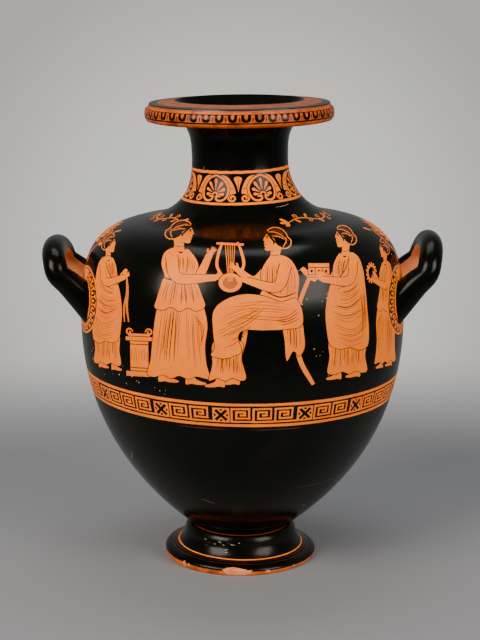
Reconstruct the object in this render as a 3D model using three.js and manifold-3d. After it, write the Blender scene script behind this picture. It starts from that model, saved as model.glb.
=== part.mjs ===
// Red-figure hydria: a wheel-thrown water jar of fired clay, made and fired as one piece.
// Millimetres, +Z up. The foot ring stands on z = 0, under the middle of the belly.
// The lifting handles are on +X and -X, the pouring handle behind the neck is on +Y.

import * as THREE from 'three';
import { mergeVertices } from 'three/addons/utils/BufferGeometryUtils.js';
import Module from 'manifold-3d';

// Walls and facets
const wall = 6;
const facets = { round: 48, handle: 10 };
const steps = { foot: 2, body: 9, lip: 2, inside: 4 };

// Foot: a spreading disc, a moulding on top of it and a hollow underneath
const foot = {
  radius: 76.4, ringOuter: 74, ringInner: 57,
  hollowRadius: 28, hollowHeight: 27, hollowPull: [48, 22],
  edgeHeight: 5, edgePull: [76.4, 8.4], discRadius: 70.5, discHeight: 9.4,
  grooveRadius: 62.5, grooveHeight: 12.1,
  waistRadius: 56.4, waistHeight: 24, waistPull: [57.4, 18],
  crownRadius: 51, crownHeight: 33, crownPull: [55.4, 33],
};

// Body: each knot is [radius, height], each pull is how far the curve runs straight from it
const body = {
  stem: [46.5, 31.5], stemPull: [47.5, 36.5],
  belly: [160, 246.5], bellyPullDown: 114.5, bellyPullUp: 57,
  shoulder: [102.5, 344], shoulderPullOut: [50, -7.5], shoulderPullIn: [-25.5, 3.8],
  neck: [47, 403.5], neckPullDown: 43.3, neckPullUp: 22,
  flare: [54, 437], flarePull: [-5, -9],
};

// Lip: flat underneath, a rounded band outside, a step and a top that slopes to the mouth
const lip = {
  underRadius: 66, underHeight: 440.2, underPull: [57, 440.2], turnRadius: 87,
  bandRadius: 92.2, bandHeight: 446.5, bandTopRadius: 90.2, bandTopHeight: 453.6, bandPull: [92.2, 452.6],
  stepRadius: 89, stepHeight: 454.1, rimRadius: 87.8, rimHeight: 457.6,
  ringRadius: 80, ringHeight: 458,
  mouthRadius: 63, mouthHeight: 460, mouthPull: [56, 451],
  throatHeight: 426, throatPull: 14,
};

// Lifting handles: half a loop from its root in the wall to the middle of its bar
const sideHandle = {
  halfLoop: [
    [141, 45, 259], [153, 43.5, 272], [167, 42.5, 286], [178, 41.5, 296],
    [181.5, 37, 306.5], [184, 22, 313.5], [185, 0, 315.5],
  ],
  radius: 11.3, rootRadius: 15.8, rootShare: 0.3, steps: 30,
};
const barRise = { from: 306, left: 0, right: 3 };

// Pouring handle behind the neck, from the neck down to the shoulder
const backHandle = {
  route: [
    [0, 40, 400], [0, 56, 410], [0, 76, 415], [0, 96, 407],
    [0, 109, 387], [0, 114, 362], [0, 116, 334],
  ],
  radius: 11.3, rootRadius: 14.5, rootShare: 0.25, steps: 20,
};

// The potter's hand: how far the axis wanders to +X, and how the rings tilt (degrees), by height
const lean = [
  { height: 0, shift: -2.1, tilt: 0 },
  { height: 8, shift: -2.1, tilt: -1.5 },
  { height: 32, shift: -2, tilt: -0.8 },
  { height: 110, shift: 0, tilt: -0.3 },
  { height: 250, shift: 0, tilt: -0.3 },
  { height: 320, shift: 0, tilt: 0.2 },
  { height: 365, shift: -0.8, tilt: 1.2 },
  { height: 400, shift: -2.4, tilt: 1.1 },
  { height: 440, shift: -3, tilt: 0.5 },
  { height: 470, shift: -3, tilt: 0.5 },
];

const blackGloss = new THREE.MeshStandardMaterial({
  color: 0x14110f, roughness: 0.22, metalness: 0,
});

const wasm = await Module();
wasm.setup();

function footProfile() {
  const line = new THREE.Path();
  line.moveTo(0, foot.hollowHeight);
  line.lineTo(foot.hollowRadius, foot.hollowHeight);
  line.quadraticCurveTo(...foot.hollowPull, foot.ringInner, 0);
  line.lineTo(foot.ringOuter, 0);
  line.quadraticCurveTo(foot.radius, 0, foot.radius, foot.edgeHeight);
  line.quadraticCurveTo(...foot.edgePull, foot.discRadius, foot.discHeight);
  line.lineTo(foot.grooveRadius, foot.grooveHeight);
  line.quadraticCurveTo(...foot.waistPull, foot.waistRadius, foot.waistHeight);
  line.quadraticCurveTo(...foot.crownPull, foot.crownRadius, foot.crownHeight);
  line.lineTo(...body.stem);
  return line.getPoints(steps.foot);
}

function bodyProfile(divisions) {
  const [stemR, stemZ] = body.stem;
  const [bellyR, bellyZ] = body.belly;
  const [shoulderR, shoulderZ] = body.shoulder;
  const [neckR, neckZ] = body.neck;
  const [flareR, flareZ] = body.flare;
  const line = new THREE.Path();
  line.moveTo(stemR, stemZ);
  line.bezierCurveTo(stemR + body.stemPull[0], stemZ + body.stemPull[1],
    bellyR, bellyZ - body.bellyPullDown, bellyR, bellyZ);
  line.bezierCurveTo(bellyR, bellyZ + body.bellyPullUp,
    shoulderR + body.shoulderPullOut[0], shoulderZ + body.shoulderPullOut[1], shoulderR, shoulderZ);
  line.bezierCurveTo(shoulderR + body.shoulderPullIn[0], shoulderZ + body.shoulderPullIn[1],
    neckR, neckZ - body.neckPullDown, neckR, neckZ);
  line.bezierCurveTo(neckR, neckZ + body.neckPullUp,
    flareR + body.flarePull[0], flareZ + body.flarePull[1], flareR, flareZ);
  return line.getPoints(divisions);
}

function lipProfile() {
  const line = new THREE.Path();
  line.moveTo(...body.flare);
  line.quadraticCurveTo(...lip.underPull, lip.underRadius, lip.underHeight);
  line.lineTo(lip.turnRadius, lip.underHeight);
  line.quadraticCurveTo(lip.bandRadius, lip.underHeight, lip.bandRadius, lip.bandHeight);
  line.quadraticCurveTo(...lip.bandPull, lip.bandTopRadius, lip.bandTopHeight);
  line.lineTo(lip.stepRadius, lip.stepHeight);
  line.lineTo(lip.rimRadius, lip.rimHeight);
  line.lineTo(lip.ringRadius, lip.ringHeight);
  line.lineTo(lip.mouthRadius, lip.mouthHeight);
  return line.getPoints(steps.lip);
}

// Moves a profile that runs upwards in from the outside by the wall's thickness
function inset(points, depth) {
  return points.map((point, i) => {
    const before = points[Math.max(i - 1, 0)];
    const after = points[Math.min(i + 1, points.length - 1)];
    const run = after.clone().sub(before).normalize();
    return new THREE.Vector2(point.x - depth * run.y, point.y + depth * run.x);
  });
}

// The inside of the jar at a depth below its outer surface, from the floor up to the mouth
function insideProfile(depth) {
  const walls = inset(bodyProfile(steps.inside), depth).filter((point) => point.y < lip.throatHeight);
  const throat = walls.at(-1);
  const mouth = new THREE.Path();
  mouth.moveTo(throat.x, throat.y);
  mouth.bezierCurveTo(throat.x, throat.y + lip.throatPull, ...lip.mouthPull, lip.mouthRadius, lip.mouthHeight);
  const floor = new THREE.Vector2(0, walls[0].y);
  return [floor, ...walls, ...mouth.getPoints(steps.inside).slice(1)];
}

// Profiles run up the outside, so their faces point out once the lathe is stood upright
function turned(points) {
  return toSolid(new THREE.LatheGeometry(points, facets.round).rotateX(Math.PI / 2));
}

// A round bar along a curve that swells towards its roots in the wall
function handle(points, { radius, rootRadius, rootShare, steps: count }) {
  const route = new THREE.CatmullRomCurve3(points.map((point) => new THREE.Vector3(...point)));
  const section = new THREE.Shape().absarc(0, 0, radius, 0, 2 * Math.PI);
  const bar = new THREE.ExtrudeGeometry(section, {
    steps: count, extrudePath: route, bevelEnabled: false, curveSegments: facets.handle / 2,
  });
  const centres = route.getSpacedPoints(count);
  const place = bar.attributes.position;
  const vertex = new THREE.Vector3();
  for (let i = 0; i < place.count; i += 1) {
    vertex.fromBufferAttribute(place, i);
    const gaps = centres.map((centre) => centre.distanceToSquared(vertex));
    const step = gaps.indexOf(Math.min(...gaps));
    const along = step / count;
    const swell = 1 - THREE.MathUtils.smoothstep(Math.min(along, 1 - along), 0, rootShare);
    const factor = THREE.MathUtils.lerp(1, rootRadius / radius, swell);
    vertex.sub(centres[step]).multiplyScalar(factor).add(centres[step]);
    place.setXYZ(i, vertex.x, vertex.y, vertex.z);
  }
  return toSolid(bar);
}

function liftingHandle(side, rise) {
  const barHeight = sideHandle.halfLoop.at(-1)[2];
  const half = sideHandle.halfLoop.map(([x, y, z]) => {
    const share = THREE.MathUtils.smoothstep(z, barRise.from, barHeight);
    return [side * x, y, z + rise * share];
  });
  const mirrored = half.slice(0, -1).reverse().map(([x, y, z]) => [x, -y, z]);
  return handle([...half, ...mirrored], sideHandle);
}

function toSolid(geometry) {
  geometry.deleteAttribute('normal');
  geometry.deleteAttribute('uv');
  const merged = mergeVertices(geometry, 1e-3);
  const corners = merged.index.array;
  const triVerts = [];
  for (let i = 0; i < corners.length; i += 3) {
    const [a, b, c] = corners.slice(i, i + 3);
    if (a !== b && b !== c && c !== a) triVerts.push(a, b, c);
  }
  const mesh = new wasm.Mesh({
    numProp: 3,
    vertProperties: new Float32Array(merged.attributes.position.array),
    triVerts: new Uint32Array(triVerts),
  });
  return new wasm.Manifold(mesh);
}

function leanAt(z) {
  const top = lean.findIndex((knot) => knot.height >= z);
  const upper = lean[Math.max(top, 1)];
  const lower = lean[Math.max(top, 1) - 1];
  const share = THREE.MathUtils.smoothstep(z, lower.height, upper.height);
  return {
    shift: THREE.MathUtils.lerp(lower.shift, upper.shift, share),
    tilt: THREE.MathUtils.degToRad(THREE.MathUtils.lerp(lower.tilt, upper.tilt, share)),
  };
}

function toGeometry(solid) {
  const { vertProperties, triVerts, numProp } = solid.getMesh();
  const positions = new Float32Array(vertProperties.length / numProp * 3);
  for (let i = 0; i < positions.length / 3; i += 1) {
    const [x, y, z] = vertProperties.slice(i * numProp, i * numProp + 3);
    const { shift, tilt } = leanAt(z);
    positions.set([x * Math.cos(tilt) + shift, y, z + x * Math.sin(tilt)], i * 3);
  }
  const geometry = new THREE.BufferGeometry();
  geometry.setAttribute('position', new THREE.BufferAttribute(positions, 3));
  geometry.setIndex(new THREE.BufferAttribute(new Uint32Array(triVerts), 1));
  geometry.computeVertexNormals();
  return geometry;
}

const outside = [...footProfile(), ...bodyProfile(steps.body).slice(1), ...lipProfile().slice(1)];
const shell = turned([...outside, ...insideProfile(wall).reverse().slice(1)]);

// The handles end half way into the wall
const core = turned([...insideProfile(wall / 2), new THREE.Vector2(0, lip.mouthHeight)]);
const handles = liftingHandle(1, barRise.right)
  .add(liftingHandle(-1, barRise.left))
  .add(handle(backHandle.route, backHandle))
  .subtract(core);

const hydria = new THREE.Mesh(toGeometry(shell.add(handles)), blackGloss);
hydria.name = 'hydria';

const part = new THREE.Group();
part.add(hydria);

export default part;
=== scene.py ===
import math
import random

import bpy
import numpy as np
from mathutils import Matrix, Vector
from mathutils.geometry import delaunay_2d_cdt
from mathutils.kdtree import KDTree


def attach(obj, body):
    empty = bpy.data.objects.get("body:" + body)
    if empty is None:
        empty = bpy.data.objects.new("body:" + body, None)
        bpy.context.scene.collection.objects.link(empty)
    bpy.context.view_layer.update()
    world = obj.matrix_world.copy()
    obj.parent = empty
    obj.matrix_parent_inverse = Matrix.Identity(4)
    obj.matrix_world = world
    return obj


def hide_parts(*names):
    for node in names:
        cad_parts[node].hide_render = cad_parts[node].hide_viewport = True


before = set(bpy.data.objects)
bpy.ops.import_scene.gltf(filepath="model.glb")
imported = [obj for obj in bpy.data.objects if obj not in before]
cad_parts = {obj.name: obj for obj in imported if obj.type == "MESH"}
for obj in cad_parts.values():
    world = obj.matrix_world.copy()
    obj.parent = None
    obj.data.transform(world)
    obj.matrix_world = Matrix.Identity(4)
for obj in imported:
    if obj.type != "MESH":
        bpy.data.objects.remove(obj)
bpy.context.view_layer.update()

hand = random.Random(11)     # the painter's unsteady hand, the same on every run
mm = 0.001
bpy.ops.object.select_all(action="DESELECT")
print("frame loaded")

# No operator cuts a painted picture into a round wall, so the jar is one flat sheet, cut along its
# outline and every painted edge and then rolled up. The handles are joined on by modifiers.

# Outline of the jar in mm, (radius, height), from under the foot round to the floor inside
outline = dict(
    underMiddle=(0, 27), hollow=(28, 27), ringInner=(57, 0), ringOuter=(74, 0), footEdge=(76.4, 5),
    footDisc=(70.5, 9.4), groove=(62.5, 12.1), waist=(56.4, 24), crown=(51, 33), stem=(46.5, 31.5),
    belly=(160, 246.5), shoulder=(102.5, 344), neck=(47, 403.5), flare=(54, 437), lipUnder=(66, 440.2),
    lipTurn=(87, 440.2), lipBand=(92.2, 446.5), lipTop=(90.2, 453.6), lipStep=(89, 454.1),
    lipRim=(87.8, 457.6), lipRing=(80, 458), mouth=(63, 460), throat=(41, 403.5),
)
runs = [  # from, pulls of the curve between, to
    ("underMiddle", [], "hollow"), ("hollow", [(48, 22)], "ringInner"), ("ringInner", [], "ringOuter"),
    ("ringOuter", [(76.4, 0)], "footEdge"), ("footEdge", [(76.4, 8.4)], "footDisc"),
    ("footDisc", [], "groove"), ("groove", [(57.4, 18)], "waist"), ("waist", [(55.4, 33)], "crown"),
    ("crown", [], "stem"), ("stem", [(94, 68), (160, 132)], "belly"),
    ("belly", [(160, 303.5), (152.5, 336.5)], "shoulder"),
    ("shoulder", [(77, 347.8), (47, 360.2)], "neck"),
    ("neck", [(47, 425.5), (49, 428)], "flare"), ("flare", [(57, 440.2)], "lipUnder"),
    ("lipUnder", [], "lipTurn"), ("lipTurn", [(92.2, 440.2)], "lipBand"),
    ("lipBand", [(92.2, 452.6)], "lipTop"), ("lipTop", [], "lipStep"), ("lipStep", [], "lipRim"),
    ("lipRim", [], "lipRing"), ("lipRing", [], "mouth"), ("mouth", [(56, 451), (41, 432)], "throat"),
]
jar = dict(wall=6.0, aroundCount=96, coarsest=12.0, finest=0.9, flatness=0.6, unrollRadius=160.0,
           knotGap=0.45, closeRows=3.0, curvePoints=240, straightPoints=9, mergeGap=2e-3, seamGap=1e-3)


def bezier(points, count):
    t = np.linspace(0, 1, count)[:, None]
    level = [np.repeat(np.array([p], float), count, 0) for p in points]
    while len(level) > 1:
        level = [a * (1 - t) + b * t for a, b in zip(level, level[1:])]
    return level[0]


def insetRun(piece, depth):
    run = np.gradient(piece, axis=0)
    run /= np.linalg.norm(run, axis=1)[:, None]
    return piece + depth * np.column_stack([-run[:, 1], run[:, 0]])


def traceOutline(depth):
    pieces = {}
    for start, pulls, end in runs:
        count = jar["curvePoints"] if pulls else jar["straightPoints"]
        pieces[start] = bezier([outline[start], *pulls, outline[end]], count)
    for start in ("shoulder", "belly", "stem"):      # the inside follows the outside, a wall deeper
        pieces[start + "Inside"] = insetRun(pieces[start], depth)[::-1]
    floorEdge = pieces["stemInside"][-1]
    pieces["floor"] = bezier([floorEdge, (0, floorEdge[1])], jar["straightPoints"])
    return pieces


def measureOutline(pieces):
    table = dict(s=[], r=[], z=[], turn=[])
    startsAt = {}
    along = 0.0
    for name, piece in pieces.items():
        steps = np.linalg.norm(np.diff(piece, axis=0), axis=1)
        s = along + np.concatenate([[0], np.cumsum(steps)])
        slope = np.gradient(piece, axis=0)
        startsAt[name] = along
        table["s"].append(s)
        table["r"].append(piece[:, 0])
        table["z"].append(piece[:, 1])
        table["turn"].append(np.unwrap(np.arctan2(slope[:, 1], slope[:, 0])))
        along = s[-1]
    startsAt["end"] = along
    return {key: np.concatenate(value) for key, value in table.items()}, startsAt


pieces = traceOutline(jar["wall"])
profile, sOf = measureOutline(pieces)
unroll = jar["unrollRadius"]


def radiusAt(s):
    return np.interp(s, profile["s"], profile["r"])


def heightAt(s):
    return np.interp(s, profile["s"], profile["z"])


def sAtHeight(z, run):
    span = slice(*np.searchsorted(profile["s"], [sOf[run] + 1e-6, sOf[run] + 1e9]))
    zs = profile["z"][span][:len(pieces[run]) - 1]
    ss = profile["s"][span][:len(pieces[run]) - 1]
    return float(np.interp(z, zs, ss))


# Where the outside can be painted so that it looks right from the front, a little above
front = dict(lookDown=math.radians(10.6), low=90.0, steps=300)
sFront = np.linspace(sOf["stem"] + front["low"], sOf["neck"], front["steps"])
rFront, zFront = radiusAt(sFront), heightAt(sFront)


def seenHeight(x):
    depth = np.sqrt(np.maximum(rFront ** 2 - x * x, 0))
    return zFront * math.cos(front["lookDown"]) - depth * math.sin(front["lookDown"])


# The painter's finishes, in the order of the material slots
titles = dict(
    blackSlip="Black gloss slip", reservedClay="Reserved orange clay", diluteWash="Dilute brown slip",
    lipWash="Worn brown lip wash", brokenClay="Broken clay", abrasion="Rubbed specks",
    thinSlip="Thin red-brown slip", bareClay="Bare clay", wornClay="Worn orange clay",
)
(blackSlip, reservedClay, diluteWash, lipWash, brokenClay, abrasion, thinSlip, bareClay,
 wornClay) = range(len(titles))
shapes = []


def smooth(points, closed=False, step=2.3):
    pts = np.asarray(points, float)
    if len(pts) < 3 and not closed:
        count = max(2, int(np.linalg.norm(pts[-1] - pts[0]) / step) + 1)
        return bezier(list(pts), count)
    if closed:
        ring = np.vstack([pts[-1:], pts, pts[:2]])
    else:
        ring = np.vstack([2 * pts[:1] - pts[1:2], pts, 2 * pts[-1:] - pts[-2:-1]])
    out = []
    for p0, p1, p2, p3 in zip(ring, ring[1:], ring[2:], ring[3:]):
        count = max(2, int(np.linalg.norm(p2 - p1) / step) + 1)
        t = np.linspace(0, 1, count, endpoint=False)[:, None]
        out.append(0.5 * (2 * p1 + (p2 - p0) * t + (2 * p0 - 5 * p1 + 4 * p2 - p3) * t ** 2
                          + (3 * p1 - p0 - 3 * p2 + p3) * t ** 3))
    if not closed:
        out.append(pts[-1:])
    return np.vstack(out)


def dense(points, step=2.0, closed=True):
    pts = [np.asarray(p, float) for p in points]
    pairs = list(zip(pts, pts[1:] + pts[:1])) if closed else list(zip(pts, pts[1:]))
    out = []
    for a, b in pairs:
        count = max(1, int(np.linalg.norm(b - a) / step))
        out += [a + (b - a) * k / count for k in range(count)]
    return np.array(out if closed else out + [pts[-1]])


def ellipse(x, y, across, up, count=28, turn=0.0):
    t = np.linspace(0, 2 * math.pi, count, endpoint=False)
    ring = np.column_stack([across * np.cos(t), up * np.sin(t)])
    return ring @ turnBy(turn) + (x, y)


def mirrored(half):
    # The other half of a shape about x = 0, after the point that both share
    return list(half) + [(-x, y) for x, y in half[-2::-1]]


def turnBy(degrees):
    c, s = math.cos(math.radians(degrees)), math.sin(math.radians(degrees))
    return np.array([[c, s], [-s, c]])


def spot(degrees, base, flip=1, seen=False, size=1.0, wide=1.0):
    return dict(theta=math.radians(degrees), base=base, flip=flip, seen=seen, size=size, wide=wide)


def onJar(place, points):
    pts = np.asarray(points, float) * place["size"]
    if not place["seen"]:
        s = place["base"] + pts[:, 1]
        theta = place["theta"] + place["flip"] * pts[:, 0] / np.maximum(radiusAt(s), 1)
        return np.column_stack([theta * unroll, s])
    middle = float(radiusAt(place["base"])) * math.sin(place["theta"])
    ground = float(np.interp(place["base"], sFront, seenHeight(middle)))
    x = middle + place["flip"] * place["wide"] * pts[:, 0]
    s = np.array([np.interp(ground + y, seenHeight(across), sFront) for across, y in zip(x, pts[:, 1])])
    theta = np.arcsin(np.clip(x / radiusAt(s), -0.97, 0.97))
    return np.column_stack([theta * unroll, s])


def fill(place, finish, points):
    shapes.append((finish, onJar(place, points)))


def ribbon(points, width, taper=0.35):
    pts = np.asarray(points, float)
    run = np.gradient(pts, axis=0)
    run /= np.maximum(np.linalg.norm(run, axis=1), 1e-9)[:, None]
    side = np.column_stack([-run[:, 1], run[:, 0]])
    t = np.linspace(0, 1, len(pts))
    half = 0.5 * width * (taper + (1 - taper) * np.minimum(1, 5 * np.minimum(t, 1 - t)))[:, None]
    return np.vstack([pts + side * half, (pts - side * half)[::-1]])


def stroke(place, finish, points, width, taper=0.35):
    fill(place, finish, ribbon(smooth(points), width, taper))


def outlined(place, finish, points, width):
    loop = np.vstack([points, points[:1]])
    fill(place, finish, points)
    fill(place, blackSlip, ribbon(loop, width, 1.0))


brush = dict(ringPoints=201, waves=(3, 7, 13, 29))     # how a line wanders round the jar


def ringBand(finish, low, high, ragged=0.0, lean=0.0, parts=()):
    # A ring round the jar, or parts of one from degrees to degrees; lean is how far it drops to the right
    theta = np.radians(np.linspace(-180, 180, brush["ringPoints"]))
    wander = []
    for edge in range(2):
        waves = [hand.uniform(-1, 1) * np.sin(k * theta + hand.uniform(0, 6.28)) for k in brush["waves"]]
        wander.append(sum(waves) / 3)
    sLow = low + ragged * wander[0] - lean * np.sin(theta)
    sHigh = high + ragged * wander[1] - lean * np.sin(theta)
    if not parts:
        across = theta * unroll
        edges = [np.column_stack([across, sLow]), np.column_stack([across, sHigh])[::-1]]
        shapes.append((finish, np.vstack(edges)))
    for start, stop in parts:
        keep = (np.degrees(theta) >= start) & (np.degrees(theta) <= stop)
        line = np.column_stack([theta[keep] * unroll, (sLow[keep] + sHigh[keep]) / 2])
        shapes.append((finish, ribbon(line, high - low, 0.2)))


# Lip: egg pattern between lines on the rounded band, a brown ring on top
lipPaint = dict(
    eggCount=46, eggLow=446.0, eggHigh=453.0, rimLow=440.9, lineLow=444.4, uneven=(0.92, 1.08),
    cup=[(-4.3, 1), (-4.3, 0.45), (-2.9, 0.1), (0, 0)], egg=[(-1.5, 1), (-1.5, 0.6), (0, 0.34)],
    dart=(0.1, 0.75), dartWidth=1.1, ledge=1.5, rimLine=0.9,
)


def paintLip():
    low = sAtHeight(lipPaint["rimLow"], "lipTurn")
    line = sAtHeight(lipPaint["lineLow"], "lipTurn")
    eggLow = sAtHeight(lipPaint["eggLow"], "lipTurn")
    eggHigh = sAtHeight(lipPaint["eggHigh"], "lipBand")
    ringBand(wornClay, low, sOf["lipStep"], 0.2)
    ringBand(blackSlip, line, eggLow - 0.2, 0.25)
    ringBand(blackSlip, eggHigh - 0.2, sOf["lipTop"] - 0.2, 0.15)
    ringBand(lipWash, sOf["lipStep"], sOf["lipRim"], 0.0)
    ringBand(wornClay, sOf["lipStep"], sOf["lipStep"] + lipPaint["ledge"], 0.3)
    ringBand(blackSlip, sOf["lipRim"] - lipPaint["rimLine"], sOf["lipRim"], 0.2)
    ringBand(lipWash, sOf["lipRing"], sOf["mouth"] - 0.5, 0.2)
    tall = eggHigh - eggLow
    pitch = math.pi * outline["lipBand"][0] / lipPaint["eggCount"]
    dart = [(pitch, share * tall) for share in lipPaint["dart"]]
    for k in range(lipPaint["eggCount"]):
        place = spot(360 * (k + 0.5) / lipPaint["eggCount"] - 180, eggLow)
        size = (hand.uniform(*lipPaint["uneven"]), tall)
        fill(place, blackSlip, smooth(np.array(mirrored(lipPaint["cup"])) * size, step=0.8))
        fill(place, wornClay, smooth(np.array(mirrored(lipPaint["egg"])) * size, step=0.8))
        stroke(place, blackSlip, dart, lipPaint["dartWidth"], 0.5)


# Neck: enclosed palmettes and lotus leaves between two reserved lines
neckPaint = dict(low=367.4, high=393.8, lineWidth=2.6, count=7, lean=0.35, turn=-2.8, ground=1.13, fan=31,
                 petals=(15.2, 13.6, 11.4, 9.6))


def petal(place, finish, x, y, angle, length, width):
    leaf = [(0, 0), (0.55 * length, 0.5 * width), (0.85 * length, 0.48 * width), (length, 0),
            (0.85 * length, -0.48 * width), (0.55 * length, -0.5 * width)]
    leaf = [(px, py if 0 < px < length else 0) for px, py in leaf]
    fill(place, finish, smooth(leaf, closed=True, step=0.9) @ turnBy(angle) + (x, y))


def spiral(x, y, size, turns, start, way=1, count=40):
    t = np.linspace(0, 1, count)
    angle = math.radians(start) + way * 2 * math.pi * turns * t
    radius = size * (1 - 0.82 * t)
    return np.column_stack([x + radius * np.cos(angle), y + radius * np.sin(angle)])


def enclosedPalmette(place):
    side = [(0, 13), (7, 9.8), (12.4, 3.2), (13.4, -4), (10.4, -10.6), (5.2, -12), (1.9, -9.8),
            (3, -7.4), (6.2, -7.6)]
    heart = mirrored(side[:6] + [(0, -11)])[:-1]
    fill(place, blackSlip, smooth(heart, closed=True, step=1.4) * neckPaint["ground"])
    for way in (-1, 1):
        stroke(place, reservedClay, [(way * x, y) for x, y in side], 2.2, 0.8)
    for k in range(-3, 4):
        tip = neckPaint["petals"][abs(k)]
        leaf = np.array([(3.2, 0), (0.6 * tip, 0.8), (0.86 * tip, 1.5), (tip, 0), (0.86 * tip, -1.5),
                         (0.6 * tip, -0.8)])
        turn = turnBy(90 - neckPaint["fan"] * k)
        fill(place, reservedClay, smooth(leaf, closed=True, step=1.0) @ turn + (0, -5.0))
    fill(place, reservedClay, ellipse(0, -5.4, 3.1, 2.5, 16))
    fill(place, blackSlip, ellipse(0, -6.0, 1.8, 1.6, 12))


def lotusLeaves(place):
    leaf = [(19.4, 12.8), (13.4, 13), (8.6, 10.6), (5, 5), (2.8, -1.6), (3, -4.6), (8.2, -4.8),
            (9.2, -1.6), (10.4, 4), (14, 10)]
    for way in (-1, 1):
        sided = [(way * x, y) for x, y in leaf]
        outlined(place, reservedClay, smooth(sided, closed=True, step=1.2), 0.5)
        stroke(place, blackSlip, [(way * 5.2, -4), (way * 5.4, -0.5)], 0.6)
        stroke(place, blackSlip, [(way * 4.2, -0.4), (way * 6, 0.8), (way * 8.6, 0.2)], 0.5)
        stroke(place, reservedClay, spiral(way * 6.2, -9, 4.5, 1.45, 90, -way, 28), 1.8, 0.6)
    bud = mirrored([(0, -3.6), (1.5, 2.4), (3.9, 8.6), (3.5, 11.2), (0, 12.2)])[:-1]
    outlined(place, reservedClay, smooth(bud, closed=True, step=1.2), 0.6)
    stroke(place, blackSlip, [(0, -1), (0, 10)], 0.5)


def paintNeck():
    low = sAtHeight(neckPaint["low"], "shoulder")
    high = sAtHeight(neckPaint["high"], "shoulder")
    wide = neckPaint["lineWidth"]
    ringBand(reservedClay, low - wide, low, 0.25, -neckPaint["lean"])
    ringBand(reservedClay, high, high + wide, 0.45, -neckPaint["lean"])
    middle = (low + high) / 2 - 0.4
    step = 360 / neckPaint["count"]
    for k in range(neckPaint["count"]):
        lotusLeaves(spot(step * k + neckPaint["turn"], middle))
    for k in range(neckPaint["count"]):
        enclosedPalmette(spot(step * (k + 0.5) + neckPaint["turn"], middle))


# Meander: groups of running keys parted by saltire squares, between reserved lines
meanderPaint = dict(
    low=176.4, high=194.4, lineWidth=2.9, across=4.15, up=3.3, groups=7, lean=1.4, strokeWidth=1.95,
    order="kkxkkkx", keyUnits=5.0, squareUnits=4.6, squareSide=4.3, squareTall=4.2, lift=2.5, shake=0.15,
    route=[(0, 0), (0, 4), (4, 4), (4, 1.05), (1.05, 1.05), (1.05, 3), (3, 3), (3, 2.05), (2.1, 2.05)],
    rubbed=[(-24, -4), (1, 22), (60, 75)],
)


def meanderKey(place, grid, wide):
    route, shake = meanderPaint["route"], meanderPaint["shake"]
    for a, b in list(zip(route, route[1:])) + [((0, 0), (meanderPaint["keyUnits"], 0))]:
        a, b = np.array(a) * grid, np.array(b) * grid
        reach = (b - a) / np.linalg.norm(b - a) * wide / 2
        wobble = [np.array([hand.uniform(-shake, shake), hand.uniform(-shake, shake)]) for end in (0, 1)]
        line = dense([a - reach + wobble[0], b + reach + wobble[1]], 9.0, False)
        fill(place, reservedClay, ribbon(line, wide * hand.uniform(0.88, 1.1), 1.0))


def saltire(place, side, tall):
    box = [(0.8, -0.9), (side - 0.8, -0.9), (side - 0.8, tall), (0.8, tall)]
    fill(place, reservedClay, dense(box, 4.0))
    middle = np.array([side / 2, tall / 2 - 0.4])
    for way in (-1, 1):
        arm = np.array([way * 0.3 * side, 0.37 * tall])
        fill(place, blackSlip, ribbon(dense([middle - arm, middle + arm], 4.0, False), 2.9, 1.0))
        fill(place, blackSlip, ellipse(*(middle + (way * 0.33 * side, 0)), 1.0, 1.5, 8))
        fill(place, blackSlip, ellipse(*(middle + (0, way * 0.38 * tall)), 1.5, 1.0, 8))


def paintMeander():
    low = sAtHeight(meanderPaint["low"], "stem")
    high = sAtHeight(meanderPaint["high"], "stem")
    wide, grid = meanderPaint["lineWidth"], meanderPaint["across"]
    ringBand(reservedClay, low - wide, low, 0.3, meanderPaint["lean"])
    ringBand(reservedClay, high, high + wide, 0.35, meanderPaint["lean"])
    ringBand(thinSlip, low - wide - 3.6, low - wide - 2.6, 0.5, meanderPaint["lean"],
             meanderPaint["rubbed"])
    widths = dict(k=meanderPaint["keyUnits"] * grid, x=meanderPaint["squareUnits"] * grid)
    order = meanderPaint["order"]
    radius = float(radiusAt((low + high) / 2))
    stretch = 2 * math.pi * radius / (meanderPaint["groups"] * sum(widths[kind] for kind in order))
    cell = np.array([grid * stretch, meanderPaint["up"]])
    x = -math.pi * radius
    for kind in order * meanderPaint["groups"]:
        theta = x / radius
        place = spot(math.degrees(theta),
                     low + meanderPaint["lift"] - meanderPaint["lean"] * math.sin(theta))
        if kind == "k":
            meanderKey(place, cell, meanderPaint["strokeWidth"])
        else:
            saltire(place, meanderPaint["squareSide"] * cell[0], meanderPaint["squareTall"] * cell[1])
        x += widths[kind] * stretch


# Foot: reserved edge, red lines at the groove and the stem, chips along the rim
footPaint = dict(
    edge=4.6, grooveLine=(-0.9, 0.5), stemLine=(-0.6, 2.0), rubbedWidth=0.7,
    chipPoints=30, bite=(0.72, 1.1),
    discRings=[(1.2, 0.6), (4.8, 0.5)],      # mm in from the top of the disc, width
    rubbed=[(43, [(-52, -3), (0, 48)]), (57, [(-60, 40)]), (100, [(20, 80)])],      # height, degrees
    chips=[(-2, 15.5, 5.6), (-47, 2.4, 2.4), (-42, 1.6, 1.4), (21, 3.2, 1.6), (44, 2, 1.5), (150, 9, 4)],
)


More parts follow.
